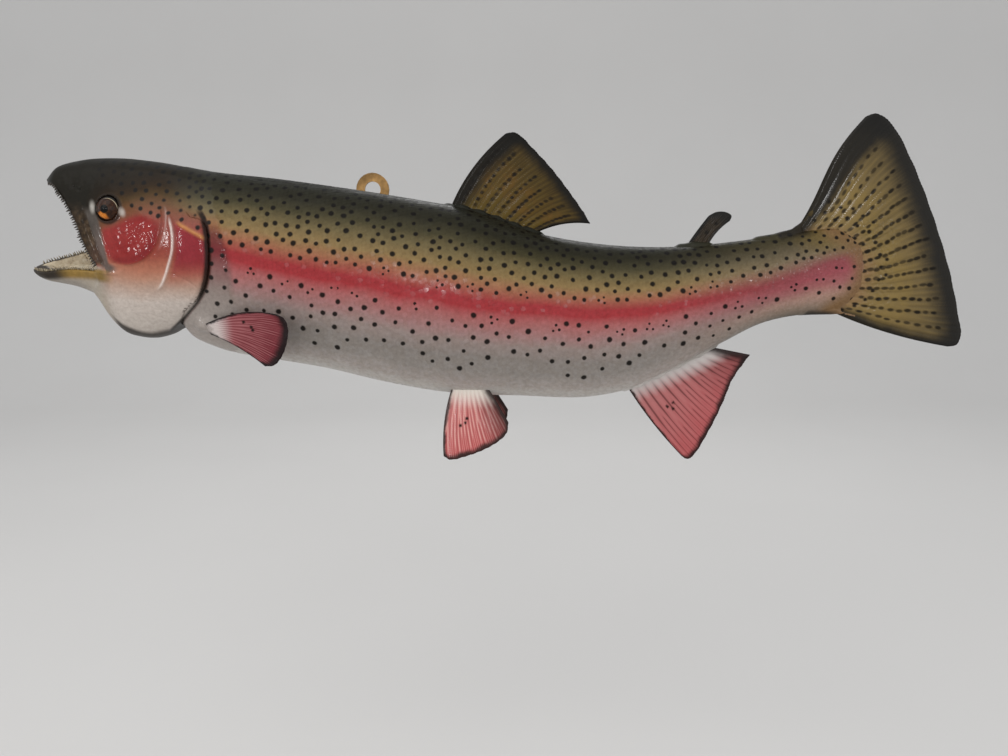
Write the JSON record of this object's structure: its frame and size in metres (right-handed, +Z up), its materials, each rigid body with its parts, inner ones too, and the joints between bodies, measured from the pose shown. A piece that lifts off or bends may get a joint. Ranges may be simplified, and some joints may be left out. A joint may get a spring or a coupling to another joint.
{
  "type": "mounted rainbow trout",
  "caption": "Life-size mounted rainbow trout with its mouth wide open and its tail swung out from the wall, hung by a brass ring behind its back.",
  "frame": {"origin": "crown of the ring's hole, where the nail bears, on the plane of the wall", "axes": "+X from the head to the tail, +Y into the wall, +Z up"},
  "size_m": [0.6244, 0.1024, 0.2325],
  "materials": {
    "skin": "painted scaled skin under clear gloss varnish: dark back, olive gold flank, crimson stripe, pale belly",
    "jaw": "painted, charcoal to olive yellow, glossy, with ivory teeth",
    "mouth": "painted, cream, wet gloss",
    "olive_fin": "painted fin, ochre olive with rows of dark dashes and black margins, glossy",
    "pink_fin": "painted fin, salmon pink with black margins, glossy",
    "eye": "glass eye, dark brown iris with an orange lower rim and a black pupil",
    "brass": "dull brushed brass",
    "wood": "plain sanded softwood"
  },
  "bodies": {
    "root": {"head": "skin", "upper_jaw": "jaw", "lower_jaw": "jaw", "tongue": "mouth", "throat": "skin", "gill_cover_left": "skin", "gill_cover_right": "skin", "eye_left": "eye", "eye_right": "eye", "trunk_front": "skin", "trunk_rear": "skin", "tail_wrist": "skin", "dorsal_fin": "olive_fin", "adipose_fin": "olive_fin", "caudal_fin": "olive_fin", "anal_fin": "pink_fin", "pelvic_fin_left": "pink_fin", "pelvic_fin_right": "pink_fin", "pectoral_fin_left": "pink_fin", "pectoral_fin_right": "pink_fin", "hanger_ring": "brass", "mount_block": "wood", "screw_upper": "brass", "screw_lower": "brass"}
  },
  "joints": []
}
